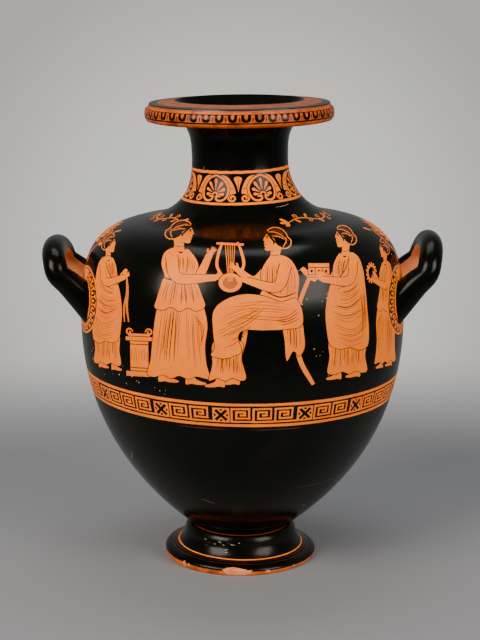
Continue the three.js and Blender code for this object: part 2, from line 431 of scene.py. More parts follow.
def paintFoot():
    edge = sAtHeight(footPaint["edge"], "ringOuter")
    ringBand(bareClay, 0, sOf["ringOuter"], 0)
    ringBand(wornClay, sOf["ringOuter"], edge, 0.35)
    for knot, line in (("groove", "grooveLine"), ("stem", "stemLine")):
        low, high = footPaint[line]
        ringBand(reservedClay, sOf[knot] + low, sOf[knot] + high, 0.12)
    for inward, width in footPaint["discRings"]:
        ringBand(thinSlip, sOf["footDisc"] + inward, sOf["footDisc"] + inward + width, 0.2)
    for height, parts in footPaint["rubbed"]:
        level = sAtHeight(height, "stem")
        ringBand(thinSlip, level, level + footPaint["rubbedWidth"], 0.3, 0, parts)
    for degrees, wide, tall in footPaint["chips"]:
        loop = []
        for k in range(footPaint["chipPoints"]):
            t = 2 * math.pi * k / footPaint["chipPoints"]
            bite = hand.uniform(*footPaint["bite"])
            loop.append((wide * bite * math.cos(t), tall * bite * math.sin(t)))
        fill(spot(degrees, edge - 0.6), brokenClay, loop)


# Handle roots: a tongue pattern round each root and a bare panel between the two
rootPaint = dict(
    inner=(20.0, 20.5), outer=(42.0, 33.0), tongues=22, angle=15.9, height=271.5,
    panel=[(-46, -6), (46, -6), (46, 30), (-46, 30)],
    # share of the way from the inner to the outer edge, and the colour inside that line
    rings=[(1, reservedClay), (0.86, blackSlip), (0.76, reservedClay), (0.26, blackSlip),
           (0.16, reservedClay), (0, blackSlip)],
    # the same share, length as a share, half width, colour
    tongue=[(0.51, 0.24, 3.3, blackSlip), (0.45, 0.15, 1.5, reservedClay)],
)


def paintRoots(side):
    height = sAtHeight(rootPaint["height"], "belly")
    inner = np.array(rootPaint["inner"])
    depth = np.array(rootPaint["outer"]) - inner
    for way in (-1, 1):
        place = spot(side * (90 + way * rootPaint["angle"]), height, flip=side * way)
        for share, finish in rootPaint["rings"]:
            fill(place, finish, ellipse(0, 0, *(inner + depth * share), 72))
        for k in range(rootPaint["tongues"]):
            t = 2 * math.pi * (k + 0.5) / rootPaint["tongues"]
            heading = np.array([math.cos(t), math.sin(t)])
            reach = depth * heading
            turn = math.degrees(math.atan2(reach[1], reach[0]))
            for share, long, wide, finish in rootPaint["tongue"]:
                across, up = (inner + depth * share) * heading
                fill(place, finish, ellipse(across, up, long * np.linalg.norm(reach), wide, 14, turn))
    fill(spot(side * 90, height), reservedClay, dense(rootPaint["panel"], 4))


# Figures: women with music and offerings, drawn facing right and 150 mm tall
ink = dict(relief=0.55, wash=0.6, contour=0.6, foldPoints=13, foldStart=(0, 0.25), foldStop=(0.75, 1),
           foldSway=0.03)


def limb(place, points, widths):
    line = smooth(points, step=2.0)
    t = np.linspace(0, 1, len(line))
    half = 0.5 * np.interp(t, np.linspace(0, 1, len(widths)), widths)[:, None]
    run = np.gradient(line, axis=0)
    run /= np.linalg.norm(run, axis=1)[:, None]
    side = np.column_stack([-run[:, 1], run[:, 0]])
    cap = line[-1] + run[-1] * half[-1]
    for grow, finish in ((ink["contour"], blackSlip), (0, reservedClay)):
        fill(place, finish, np.vstack([line + side * (half + grow), cap[None],
                                       (line - side * (half + grow))[::-1]]))


def handShape(place, x, y, angle):
    palm = [(-2, -2.1), (1.5, -2.4), (4.2, -1.6), (4.6, 1.2), (1.4, 2.3), (-2, 2.1)]
    fingers = [(3.4, -1.5, -14), (4.0, -0.4, -3), (4.0, 0.8, 9)]
    turn = turnBy(angle)
    for fx, fy, lean in fingers:
        tip = np.array([(fx, fy), (fx + 3.8, fy + 3.8 * math.tan(math.radians(lean)))])
        fill(place, reservedClay, ribbon(dense(tip, 0.8, False), 1.35, 0.75) @ turn + (x, y))
    thumb = np.array([(0.6, 1.8), (2.6, 3.4), (4.4, 3.9)])
    fill(place, reservedClay, ribbon(smooth(thumb, step=0.8), 1.4, 0.7) @ turn + (x, y))
    fill(place, reservedClay, smooth(palm, closed=True, step=0.9) @ turn + (x, y))


def foot(place, x, y, size=1.0):
    shape = np.array([(-4.4, 0.4), (-4.2, 5.5), (-2.6, 9.5), (2.6, 9.5), (4.4, 5.4), (8.6, 3.2),
                      (12.6, 1.9), (13.4, 0.5), (11.6, -0.5), (5, -0.4), (1, 0.3),
                      (-2.6, -0.3)]) * size + (x, y)
    outlined(place, reservedClay, smooth(shape, closed=True, step=1.2), 0.5)
    stroke(place, diluteWash, np.array([(9.6, 0.4), (11.2, 1.6)]) * size + (x, y), 0.4)


def evenCurve(points, count):
    line = smooth(points)
    t = np.linspace(0, 1, len(line))
    return np.column_stack([np.interp(np.linspace(0, 1, count), t, line[:, k]) for k in (0, 1)])


def foldLines(place, first, last, count, finish=diluteWash):
    # Lines that pass by degrees from the first curve to the last
    points = ink["foldPoints"]
    a, b = evenCurve(first, points), evenCurve(last, points)
    t = np.linspace(0, 1, points)
    width = ink["wash"] if finish == diluteWash else ink["relief"]
    for k in range(count):
        share = (k + 0.5 + hand.uniform(-0.3, 0.3)) / count
        sway = ink["foldSway"] * hand.uniform(-1, 1) * np.sin(t * hand.uniform(2, 6) + hand.uniform(0, 6))
        share = (share + sway)[:, None]
        line = a * (1 - share) + b * share
        begin = int((points - 1) * hand.uniform(*ink["foldStart"]))
        end = int((points - 1) * hand.uniform(*ink["foldStop"])) + 1
        if end - begin > 2:
            fold = smooth(line[begin:end:2], step=5.5)
            fill(place, finish, ribbon(fold, width * hand.uniform(0.8, 1.2), 0.3))


def garment(place, contour, folds):
    # An area of cloth and its families of folds: first curve, last curve, how many, colour
    outlined(place, reservedClay, smooth(contour, closed=True, step=2.4), ink["contour"])
    for family in folds:
        foldLines(place, *family)


def head(place, x, y, tilt=0.0, size=1.0):
    turn = turnBy(tilt) * size
    face = [(-1, 10), (5.2, 8.6), (7.4, 4.6), (9.6, -0.4), (7.9, -1.7), (8.6, -3.3), (7.7, -4.3),
            (8.2, -5.5), (7.2, -6.7), (7.5, -8.7), (5.3, -10.1), (2.0, -9.2), (1.9, -13), (3.6, -18),
            (-7.2, -18), (-6.0, -12), (-7.4, -6), (-10, 0.5), (-8.2, 7)]
    hair = [(5.6, 8.6), (4.6, 5.8), (2.4, 3.6), (-0.4, 1.6), (-1.6, -1.6), (-3.6, -3.8), (-7.4, -5.6),
            (-11.4, -5.4), (-14.4, -2.6), (-14.6, 1.6), (-11.6, 4.4), (-9.8, 8.2), (-5.6, 11.6),
            (-0.6, 12.4), (3.6, 11)]
    bands = [[(5.4, 7.9), (0, 8.3), (-5.4, 6.6), (-9.6, 3.6)], [(1.6, 4.2), (-3.6, 4.4), (-9.8, 2.2)],
             [(-10.2, 4.2), (-10.8, 0), (-8.6, -4.8)]]
    strands = [[(-0.6, 11.4), (-5, 9.4), (-8.8, 5.8)], [(3.6, 10), (-1.6, 9.8)],
               [(-11, 2.6), (-13.6, 0.4)], [(-10.6, -1), (-13.4, -2.2)], [(-1, 6.2), (-6, 5.2)]]
    features = [  # lids, brow, mouth, nostril, jaw and neck, each with its width
        ([(3.9, 3.6), (5.6, 4.1), (7.5, 3.3)], 0.6), ([(4.2, 2.2), (5.8, 1.8), (7.0, 2.2)], 0.45),
        ([(3.2, 5.9), (5.4, 6.3), (7.2, 5.7)], 0.5), ([(5.9, -4.4), (7.9, -4.3)], 0.45),
        ([(6.9, -1.5), (7.5, -1.0)], 0.4), ([(-0.8, -9.4), (2.0, -9.2)], 0.4),
        ([(-5.6, -12.4), (-1.6, -13.6), (2.6, -13.0)], 0.5),
    ]

    def put(pts):
        return np.asarray(pts, float) @ turn + (x, y)

    fill(place, reservedClay, put(dense(face, 1.6)))
    mass = smooth(hair, closed=True, step=1.3)
    fill(place, reservedClay, put(ribbon(np.vstack([mass, mass[:1]]), 2.1, 1.0)))
    fill(place, blackSlip, put(mass))
    for k in range(9):
        t = k / 8
        fill(place, blackSlip, put(ellipse(6.7 - 7.2 * t, 7.7 - 8.8 * t, 1.15, 1.05, 8)))
    for band in bands:
        fill(place, reservedClay, put(ribbon(smooth(band, step=1.6), 0.95, 0.5)))
    for strand in strands:
        fill(place, diluteWash, put(ribbon(smooth(strand, step=1.6), 0.45, 0.3)))
    for line, width in features:
        fill(place, blackSlip, put(ribbon(smooth(line, step=0.9), width, 0.4)))
    fill(place, blackSlip, put(ellipse(6.1, 2.9, 0.75, 0.8, 8)))
    fill(place, blackSlip, put(ellipse(-0.2, -2.6, 0.7, 1.0, 7)))


def inPeplos(place, near, far, nod=0.0):
    # Standing in a belted dress with an overfold
    foot(place, -15, 0)
    foot(place, 8, -1.5)
    limb(place, [(6, 116), (15, 99), far], [9, 8, 5.4])
    garment(place, [(-13, 91), (-18, 78), (-21.5, 60), (-24, 40), (-26, 20), (-29, 6.5), (-22, 4),
                    (-15.5, 6.4), (-8.5, 3.2), (-1.5, 5.8), (6, 3), (13, 5.6), (24, 4), (21.5, 18),
                    (20.5, 34), (22.5, 52), (20, 68), (15.5, 84), (12, 91)],
            [([(-14, 76), (-19, 45), (-24, 9)], [(2, 70), (0, 40), (-1, 8)], 9, diluteWash),
             ([(4, 70), (4, 40), (4, 8)], [(16, 64), (17, 36), (19, 9)], 6, diluteWash),
             ([(-12, 70), (-15, 45), (-19, 8)], [(-2, 68), (-4, 40), (-6, 8)], 4, blackSlip),
             ([(6, 66), (19.5, 52), (13, 26)], [(10, 66), (17, 44), (12, 10)], 2, blackSlip)])
    garment(place, [(-12, 97), (-17, 88), (-20.5, 76), (-22, 68.5), (-15, 66), (-8, 69), (-1, 65),
                    (6, 68.5), (13, 65.5), (20.5, 70), (18, 80), (14.5, 90), (11, 97)],
            [([(-11, 95), (-15, 85), (-19, 71)], [(10, 95), (14, 84), (17, 71)], 10, diluteWash),
             ([(-8, 95), (-10, 85), (-13, 69)], [(8, 95), (11, 84), (13, 69)], 5, blackSlip)])
    garment(place, [(-6, 124), (-14, 119.5), (-16.5, 109), (-14, 100), (-12, 95), (0, 93), (11, 95),
                    (13, 101), (15, 107), (12, 115), (5, 123), (0, 118.5)],
            [([(-12, 118), (-14, 106), (-10.5, 96)], [(-1, 116), (-2, 106), (-1, 95)], 6, diluteWash),
             ([(1, 116), (2, 106), (1, 95)], [(11, 114), (13, 106), (9.5, 96)], 6, diluteWash),
             ([(-7, 120), (-8, 108), (-5, 96)], [(7, 119), (9, 108), (6, 96)], 4, blackSlip)])
    stroke(place, blackSlip, [(-12, 95.5), (0, 93.2), (11.2, 95.5)], 1.2, 0.6)
    limb(place, [(-8, 116), (-2, 96), near], [10, 8.8, 5.6])
    head(place, 1, 138, nod)


def inMantle(place, near, far, nod=0.0):
    # Standing in a long dress with a mantle wound round it
    foot(place, -13, 0)
    foot(place, 9, -1.5)
    garment(place, [(-21, 40), (-23, 20), (-26, 6), (-19, 3.8), (-12, 6.2), (-4.5, 3.2), (4, 5.8),
                    (12, 3.4), (21, 5.2), (19, 20), (17, 40)],
            [([(-20, 34), (-21, 20), (-22, 7)], [(16, 34), (17, 20), (18, 7)], 14, diluteWash),
             ([(-17, 34), (-18, 20), (-18, 7)], [(13, 34), (14, 20), (14, 7)], 7, blackSlip)])
    limb(place, [(7, 115), (16, 98), far], [9, 8, 5.4])
    garment(place, [(-5, 124), (1, 118.5), (6.5, 123), (13, 115), (15.5, 105), (12, 92), (-6, 98),
                    (-13, 112)],
            [([(-3, 120), (0, 110), (4, 96)], [(10, 117), (12.5, 108), (11, 95)], 8, diluteWash),
             ([(0, 117), (3, 108), (5, 97)], [(8, 118), (10, 108), (9, 96)], 3, blackSlip)])
    garment(place, [(-6, 124), (-15, 119), (-20, 106), (-22.5, 88), (-25, 66), (-27, 46), (-25.5, 31),
                    (-15, 27), (-4, 30), (7, 28.5), (18.5, 33), (22.5, 48), (24, 64), (22, 80),
                    (17.5, 93), (9, 98), (1, 107), (-3, 117)],
            [([(-14, 115), (-3, 102), (15, 93)], [(-22, 62), (-2, 52), (22, 62)], 12, diluteWash),
             ([(-15, 110), (-2, 96), (17, 88)], [(-20, 66), (-2, 58), (20, 66)], 5, blackSlip),
             ([(-24, 64), (-8, 50), (20, 58)], [(-24, 36), (-6, 31), (16, 36)], 7, diluteWash),
             ([(-20, 98), (-23, 66), (-24, 36)], [(-15, 84), (-18, 58), (-16, 31)], 4, blackSlip)])
    stroke(place, blackSlip, [(-3, 117), (1, 107), (9, 98), (17.5, 93)], 0.9, 0.6)
    limb(place, [(-9, 116), (-3, 96), near], [10, 8.8, 5.6])
    head(place, 1, 138, nod)


def klismos(place):
    for leg in ([(-21, 57), (-23, 40), (-28, 20), (-39, 0)], [(20, 55), (23, 38), (29, 20), (41, 0)]):
        fill(place, reservedClay, ribbon(smooth(leg), 4.2, 0.75))
    fill(place, reservedClay, ribbon(smooth([(-27, 57.5), (0, 55.5), (27, 56)]), 4.6, 1.0))
    fill(place, reservedClay, ribbon(smooth([(-23, 57), (-26.5, 76), (-35, 98)]), 3.6, 0.9))
    fill(place, reservedClay, ribbon(smooth([(-41, 95), (-35, 99), (-28, 106)]), 4.8, 0.7))
    for x in (-22, 22):
        fill(place, blackSlip, ellipse(x, 57, 1.0, 1.0, 9))


def lyre(place, x, y):
    def put(pts):
        return np.asarray(pts, float) + (x, y)

    for way in (-1, 1):
        arm = [(way * 5, -4), (way * 11.5, 8), (way * 10, 20), (way * 6.5, 30)]
        fill(place, reservedClay, put(ribbon(smooth(arm), 2.5, 0.7)))
    fill(place, reservedClay, put(ribbon(dense([(-12, 27.5), (12, 29)], 3, False), 2.2, 1.0)))
    outlined(place, reservedClay, put(ellipse(0, -7, 10.5, 9, 36)), 0.8)
    fill(place, diluteWash, put(ellipse(0, -7, 6.4, 5.6, 24)))
    for k in range(-2, 3):
        fill(place, reservedClay, put(ribbon(dense([(0.9 * k, -6), (2.1 * k, 28)], 5, False), 0.6, 1.0)))


def seated(place):
    klismos(place)
    garment(place, [(-27, 60), (-30.5, 46), (-31, 34), (-26, 26), (-21, 31), (-15, 22), (-13, 40),
                    (-12, 58)],
            [([(-26, 57), (-28, 44), (-27, 30)], [(-14, 56), (-15, 42), (-16, 27)], 5, diluteWash),
             ([(-24, 57), (-25, 44), (-24, 30)], [(-16, 56), (-17, 42), (-18, 27)], 3, blackSlip)])
    foot(place, 30, 0.5)
    foot(place, 43, -2)
    garment(place, [(24, 40), (24, 24), (20, 6.5), (26, 4), (32, 6.4), (38, 3.4), (45, 6), (53, 4),
                    (50, 18), (48, 40)],
            [([(25, 30), (24, 18), (23, 7)], [(46, 30), (47, 18), (49, 7)], 12, diluteWash),
             ([(28, 30), (27, 18), (27, 7)], [(43, 30), (44, 18), (45, 7)], 6, blackSlip)])
    limb(place, [(0, 107), (13, 95), (27, 104)], [8.8, 7.8, 5.2])
    garment(place, [(-9, 118), (-19, 113.5), (-25.5, 100), (-25, 84), (-22, 70), (0, 66), (10, 76),
                    (6.5, 88), (8, 100), (5.5, 108), (-1, 117), (-5, 113)],
            [([(-18, 111), (-23, 96), (-20, 76)], [(-6, 110), (-8, 94), (-7, 76)], 7, diluteWash),
             ([(-4, 111), (-5, 96), (-4, 77)], [(5, 107), (7, 98), (5, 80)], 6, diluteWash),
             ([(-13, 112), (-16, 96), (-14, 76)], [(2, 112), (3, 96), (2, 78)], 5, blackSlip)])
    stroke(place, blackSlip, [(-23.5, 84), (-9, 80), (6.8, 87)], 1.1, 0.6)
    garment(place, [(-23, 79), (-10, 76), (4, 81), (20, 83), (34, 80), (45, 73), (49.5, 64), (49, 48),
                    (48, 34), (51, 27), (40, 24), (30, 27), (24, 31), (27, 44), (22, 50), (4, 50),
                    (-16, 51), (-28, 54), (-29, 66)],
            [([(-24, 75), (8, 78), (44, 72)], [(-20, 56), (10, 58), (40, 62)], 6, diluteWash),
             ([(2, 78), (26, 72), (48, 60)], [(18, 52), (34, 44), (49, 34)], 8, diluteWash),
             ([(0, 76), (22, 64), (48, 54)], [(14, 54), (30, 36), (46, 28)], 5, blackSlip),
             ([(-26, 72), (-16, 64), (-2, 62)], [(-26, 58), (-14, 54), (2, 54)], 4, blackSlip)])
    lyre(place, 34, 100)
    limb(place, [(-14, 108), (-6, 89), (20, 95)], [10.4, 9, 5.6])
    handShape(place, 21.5, 95.6, 12)
    handShape(place, 28, 105, 40)
    head(place, -4.5, 131, 6)


def sash(place, x, y, length, sway):
    for k in (-1, 1):
        line = [(x, y), (x + 0.5 * k + sway, y - 0.35 * length), (x + 2.2 * k - sway, y - 0.7 * length),
                (x + 3.4 * k, y - length)]
        fill(place, reservedClay, ribbon(smooth(line), 3.0, 0.5))
        stroke(place, blackSlip, line, 0.45)


def chest(place, x, y):
    box = np.array([(-12, -7), (12, -7), (12, 7), (-12, 7)]) + (x, y)
    outlined(place, reservedClay, dense(box, 3), 0.7)
    for line in ([(-12, 2.6), (12, 2.6)], [(-12, -4.4), (12, -4.4)], [(-4, -4.4), (-4, 2.6)],
                 [(4, -4.4), (4, 2.6)]):
        fill(place, blackSlip, ribbon(dense(np.array(line) + (x, y), 4, False), 0.7, 1.0))
    for k in (-8, 0, 8):
        fill(place, blackSlip, ellipse(x + k, y - 0.9, 1.4, 1.4, 9))
    for k in (-10, 10):
        leg = np.array([(k - 1.6, -10), (k + 1.6, -10), (k + 1.6, -7), (k - 1.6, -7)]) + (x, y)
        fill(place, reservedClay, dense(leg, 3))


def wreath(place, x, y, size):
    for k in range(14):
        angle = 360 / 14 * k
        cx, cy = x + size * math.cos(math.radians(angle)), y + size * math.sin(math.radians(angle))
        for lean in (60, 120):
            petal(place, reservedClay, cx, cy, angle + lean, 4.8, 2.4)
    loop = ellipse(x, y, size, size, 30)
    fill(place, reservedClay, ribbon(np.vstack([loop, loop[:1]]), 0.9, 1.0))


def altar(place, x, y):
    block = np.array([(-9, 5), (9, 5), (9, 33), (-9, 33)]) + (x, y)
    outlined(place, reservedClay, dense(block, 4), 0.6)
    for low, high, half in ((0, 4.6, 13), (33.4, 37, 13), (37.6, 40, 10.5)):
        slab = np.array([(-half, low), (half, low), (half, high), (-half, high)]) + (x, y)
        fill(place, reservedClay, dense(slab, 4))
    for way in (-1, 1):
        scroll = spiral(x + way * 9.6, y + 41.4, 3.6, 1.2, 180 if way > 0 else 0, -way)
        stroke(place, reservedClay, scroll, 1.5, 0.6)
    for height in (8, 30):
        line = dense(np.array([(-9, height), (9, height)]) + (x, y), 4, False)
        fill(place, blackSlip, ribbon(line, 0.7, 1.0))
    foldLines(place, [(x - 8, y + 28), (x - 8, y + 10)], [(x + 8, y + 28), (x + 8, y + 10)], 7)


frieze = dict(
    ground=215.0,
    # degrees round the jar, facing right or left, size, breadth
    sashBearer=(-53, 1, 0.86, 0.72), altar=(-37, 1, 1.0, 1.0), listener=(-20.8, 1, 1.0, 1.1),
    player=(8.8, -1, 1.0, 1.04), chestBearer=(37, -1, 0.93, 0.9), wreathBearer=(58.5, -1, 0.8, 0.56),
)


def inFrieze(name):
    degrees, facing, size, wide = frieze[name]
    return spot(degrees, sAtHeight(frieze["ground"], "stem"), facing, True, size, wide)


def paintFigures():
    place = inFrieze("sashBearer")
    sash(place, 31, 104, 52, 1.5)
    inMantle(place, (28, 101), (30, 108), 2)
    handShape(place, 28.5, 101.6, 30)
    altar(inFrieze("altar"), 0, 0)
    place = inFrieze("listener")
    inPeplos(place, (29, 96), (24, 117), -3)
    handShape(place, 29.5, 96.5, 10)
    handShape(place, 24, 117, 60)
    seated(inFrieze("player"))
    place = inFrieze("chestBearer")
    chest(place, 31, 106)
    inMantle(place, (27, 97), (30, 103), 4)
    handShape(place, 27.5, 97.4, 25)
    place = inFrieze("wreathBearer")
    wreath(place, 33, 110, 9)
    inPeplos(place, (26, 101), (28, 110), 0)
    handShape(place, 26.5, 101.6, 35)


def palmetteSpray(place, size):
    # A fan of leaves over two spirals, with tendrils to both sides
    for k in range(-5, 6):
        petal(place, reservedClay, 0.6 * k * size, 3 * size, 90 - 17 * k, (30 - 1.3 * abs(k)) * size,
              5.0 * size)
    for k in range(-5, 5):
        gap = np.array([(9, 0), (27 - 1.3 * abs(k + 0.5), 0)]) @ turnBy(81.5 - 17 * k)
        gap = (gap + (0.6 * k + 0.3, 3)) * size
        fill(place, blackSlip, ribbon(dense(gap, 4, False), 1.2 * size, 0.4))
    fill(place, reservedClay, ellipse(0, 3 * size, 4.4 * size, 3.2 * size, 20))
    for way in (-1, 1):
        stroke(place, reservedClay, spiral(way * 8 * size, -4 * size, 8 * size, 1.5, 90, way),
               2.2 * size, 0.6)
        tendril = np.array([(way * 4, -10), (way * 20, -12), (way * 33, 0), (way * 34, 16),
                            (way * 24, 22)]) * size
        stroke(place, reservedClay, tendril, 2.0 * size, 0.5)
        stroke(place, reservedClay, spiral(way * 24 * size, 15 * size, 7 * size, 1.3, 90, way),
               1.8 * size, 0.5)
        for x, y, angle in ((26, -10, -60), (36, 4, 0), (35, 20, 60)):
            petal(place, reservedClay, way * x * size, y * size, angle if way > 0 else 180 - angle,
                  9 * size, 4 * size)


def shoulderVine(place, length, way):
    # A waving tendril with paired leaves, curled up at the far end
    t = np.linspace(0, 1, 24)
    line = np.column_stack([way * length * t, 5.5 * np.sin(2.2 * math.pi * t) * (1 - 0.4 * t)])
    fill(place, reservedClay, ribbon(line, 1.5, 0.6))
    for k in (3, 8, 13, 18):
        side = 1 if k % 2 else -1
        curl = line[k] + (way * 3, side * 4.4)
        stroke(place, reservedClay, spiral(*curl, 3.4, 1.2, -side * 90, side * way), 1.1, 0.5)
        petal(place, reservedClay, *line[k], (side * -58 if way > 0 else 180 + side * 58), 7.5, 3.2)
    for lean in (-50, 0, 50):
        petal(place, reservedClay, *line[0], (180 if way > 0 else 0) + lean, 9.5, 3.8)
    stroke(place, reservedClay, spiral(*(line[-1] + (0, -4.6)), 4.6, 1.4, 90, -way), 1.3, 0.5)


# Palmettes round the handles and behind, and a vine on each side of the shoulder
fieldPaint = dict(
    # degrees, height, run of the outline, size
    sprays=[(-92, 322, "belly", 1.05), (-90, 214, "stem", 0.62), (92, 322, "belly", 1.05),
            (90, 214, "stem", 0.62), (180, 262, "belly", 1.5), (142, 232, "stem", 0.75),
            (218, 232, "stem", 0.75)],
    vineHeight=349.5, vines=[(33, 72, 1), (-47, 62, -1)],      # degrees, length, way
)


def paintHandleFields():
    for degrees, height, run, size in fieldPaint["sprays"]:
        palmetteSpray(spot(degrees, sAtHeight(height, run)), size)
    vine = sAtHeight(fieldPaint["vineHeight"], "shoulder")
    for degrees, length, way in fieldPaint["vines"]:
        shoulderVine(spot(degrees, vine), length, way)


# Scratches and pin-holes of long use, where the jar was set down and handled
wear = dict(
    # degrees, height, spread in degrees, how many
    pinHoles=[(-58, 215, 9, 16), (28, 290, 7, 14), (33, 240, 5, 22), (-20, 206, 14, 8), (70, 300, 6, 10),
              (150, 240, 30, 30)],
    pinHole=(0.35, 0.95), pinHoleDrift=9, scuffs=(-20, 16, 12), scuffRise=(4, 17), scratches=46,
    scratchLength=(4, 20), scratchWidth=0.4, lowest=60,
)


def paintWear():
    low, high = sAtHeight(wear["lowest"], "stem"), sOf["neck"]
    for degrees, height, spread, count in wear["pinHoles"]:
        run = "stem" if height < outline["belly"][1] else "belly"
        for k in range(count):
            level = sAtHeight(height + hand.gauss(0, wear["pinHoleDrift"]), run)
            place = spot(degrees + hand.gauss(0, spread), level)
            size = hand.uniform(*wear["pinHole"])
            hole = ellipse(0, 0, size, size * hand.uniform(0.6, 1.2), 6, hand.uniform(0, 90))
            fill(place, abrasion, hole)
    degrees, spread, count = wear["scuffs"]
    for k in range(count):
        place = spot(degrees + hand.gauss(0, spread), sOf["groove"] + hand.uniform(*wear["scuffRise"]))
        scuff = ellipse(0, 0, hand.uniform(0.8, 2.6), hand.uniform(0.2, 0.4), 7, hand.gauss(0, 12))
        fill(place, abrasion if k % 3 else thinSlip, scuff)
    for k in range(wear["scratches"]):
        place = spot(hand.uniform(-180, 180), hand.uniform(low, high))
        angle = math.radians(hand.gauss(0, 35))
        end = hand.uniform(*wear["scratchLength"]) * np.array([math.cos(angle), math.sin(angle)])
        scratch = smooth([(0, 0), end * 0.5 + (0.4, -0.6), end])
        fill(place, abrasion if k % 3 else thinSlip, ribbon(scratch, wear["scratchWidth"], 0.1))


def paintJar():
    ringBand(bareClay, sOf["shoulderInside"], sOf["end"], 0)
    paintHandleFields()
    paintFigures()
    for side in (-1, 1):
        paintRoots(side)
    paintMeander()
    paintNeck()
    paintLip()
    paintFoot()
    paintWear()


paintJar()
print("painted", len(shapes), "shapes")


def ringLevels():
    levels, s = [0.0], 0.0
    bend = np.abs(np.gradient(profile["turn"], profile["s"] + 1e-6 * np.arange(len(profile["s"]))))
    while s < sOf["end"]:
        sharp = float(np.interp(s + 0.5, profile["s"], bend))
        step = math.sqrt(jar["flatness"] / max(sharp, 1e-4))
        s += min(jar["coarsest"], max(jar["finest"], step))
        levels.append(s)
    knots = sorted(set(sOf.values()))
    levels = [s for s in levels
              if s < sOf["end"] and min(abs(s - knot) for knot in knots) > jar["knotGap"]]
    return sorted(levels + knots), knots


def splitAtSeam(shape):
    # Edges of a shape that crosses the seam behind, cut there and carried round to the other side
    limit = math.pi * unroll
    pairs = []
    for p, q in zip(shape, np.roll(shape, -1, 0)):
        ends = [p, q]
        for seam in (-limit, limit):
            if (p[0] - seam) * (q[0] - seam) < 0:
                share = (seam - p[0]) / (q[0] - p[0])
                ends.insert(1, np.array([seam, p[1] + share * (q[1] - p[1])]))
        for a, b in zip(ends, ends[1:]):
            middle = (a[0] + b[0]) / 2
            turn = -2 * limit if middle > limit else (2 * limit if middle < -limit else 0)
            pairs.append(((a[0] + turn, a[1]), (b[0] + turn, b[1])))
    return pairs


def cutSurface():
    # One flat sheet, angle across and outline up, cut along every painted edge
    points, edges = [], []
    levels, knots = ringLevels()
    around = np.radians(np.linspace(-180, 180, jar["aroundCount"] + 1)) * unroll
    for k, s in enumerate(levels):
        first = len(points)
        points += [(a, s) for a in around]
        close = k > 0 and s - levels[k - 1] < jar["closeRows"]
        if s in knots or close:
            edges += [(first + i, first + i + 1) for i in range(len(around) - 1)]
    for finish, shape in shapes:
        first = len(points)
        if np.abs(shape[:, 0]).max() > math.pi * unroll:
            pairs = splitAtSeam(shape)
            points += [p for pair in pairs for p in pair]
            edges += [(first + 2 * i, first + 2 * i + 1) for i in range(len(pairs))]
        else:
            points += list(zip(shape[:, 0], shape[:, 1]))
            edges += [(first + i, first + (i + 1) % len(shape)) for i in range(len(shape))]
    corners = [Vector(p) for p in points]
    flat, _, faces, *_ = delaunay_2d_cdt(corners, edges, [], 0, jar["mergeGap"], False)
    return np.array([tuple(p) for p in flat]), np.array([tuple(f) for f in faces])


def windings(points, loop):
    total = np.zeros(len(points), int)
    for (ax, ay), (bx, by) in zip(loop, np.roll(loop, -1, 0)):
        side = (bx - ax) * (points[:, 1] - ay) - (points[:, 0] - ax) * (by - ay)
        total += ((ay <= points[:, 1]) & (by > points[:, 1]) & (side > 0)).astype(int)
        total -= ((ay > points[:, 1]) & (by <= points[:, 1]) & (side < 0)).astype(int)
    return total


def chooseFinish(flat, faces):
    centre = flat[faces].mean(1)
    order = np.argsort(centre[:, 1])
    byHeight = centre[order]
    chosen = np.zeros(len(faces), int)
    once = np.array([2 * math.pi * unroll, 0])
    copies = []
    for finish, shape in shapes:
        copies.append((finish, shape))
        if np.abs(shape[:, 0]).max() > math.pi * unroll:      # what crosses the seam shows on both sides
            copies.append((finish, shape - once * np.sign(shape[:, 0].mean())))
    for finish, shape in copies:
        low, high = shape.min(0), shape.max(0)
        first, last = np.searchsorted(byHeight[:, 1], [low[1], high[1]])
        rows = byHeight[first:last]
        near = np.nonzero((rows[:, 0] >= low[0]) & (rows[:, 0] <= high[0]))[0]
        hit = near[windings(rows[near], shape) != 0]
        chosen[order[first + hit]] = finish
    return chosen


def pointOnJar(flat):
    theta, r = flat[:, 0] / unroll, radiusAt(flat[:, 1])
    return np.column_stack([r * np.sin(theta), -r * np.cos(theta), heightAt(flat[:, 1])])


def newMesh(name, verts, faces, chosen, materials):
    mesh = bpy.data.meshes.new(name)
    rows = faces.tolist() if isinstance(faces, np.ndarray) else faces
    mesh.from_pydata((verts * mm).tolist(), [], rows)
    for material in materials:
        mesh.materials.append(material)
    mesh.polygons.foreach_set("material_index", np.asarray(chosen, np.int32))
    piece = bpy.data.objects.new(name, mesh)
    bpy.context.collection.objects.link(piece)
    return piece


def weld(flat, flatFaces, chosen):
    # The two sides of the seam behind are one line, and each end of the outline is one point
    limit = math.pi * unroll
    left = np.nonzero(flat[:, 0] < -limit + jar["seamGap"])[0]
    right = np.nonzero(flat[:, 0] > limit - jar["seamGap"])[0]
    same = np.arange(len(flat))
    same[right[np.argsort(flat[right, 1])]] = left[np.argsort(flat[left, 1])]
    for end in (0.0, sOf["end"]):
        tip = np.nonzero(np.abs(flat[:, 1] - end) < jar["seamGap"])[0]
        same[tip] = tip[0]
    faces = same[flatFaces]
    good = (faces[:, 0] != faces[:, 1]) & (faces[:, 1] != faces[:, 2]) & (faces[:, 2] != faces[:, 0])
    used, faces = np.unique(faces[good], return_inverse=True)
    return pointOnJar(flat[used]), faces.reshape(-1, 3), chosen[good]


flat, flatFaces = cutSurface()
chosen = chooseFinish(flat, flatFaces)
print("cut into", len(flatFaces), "faces")
verts, faces, chosen = weld(flat, flatFaces, chosen)


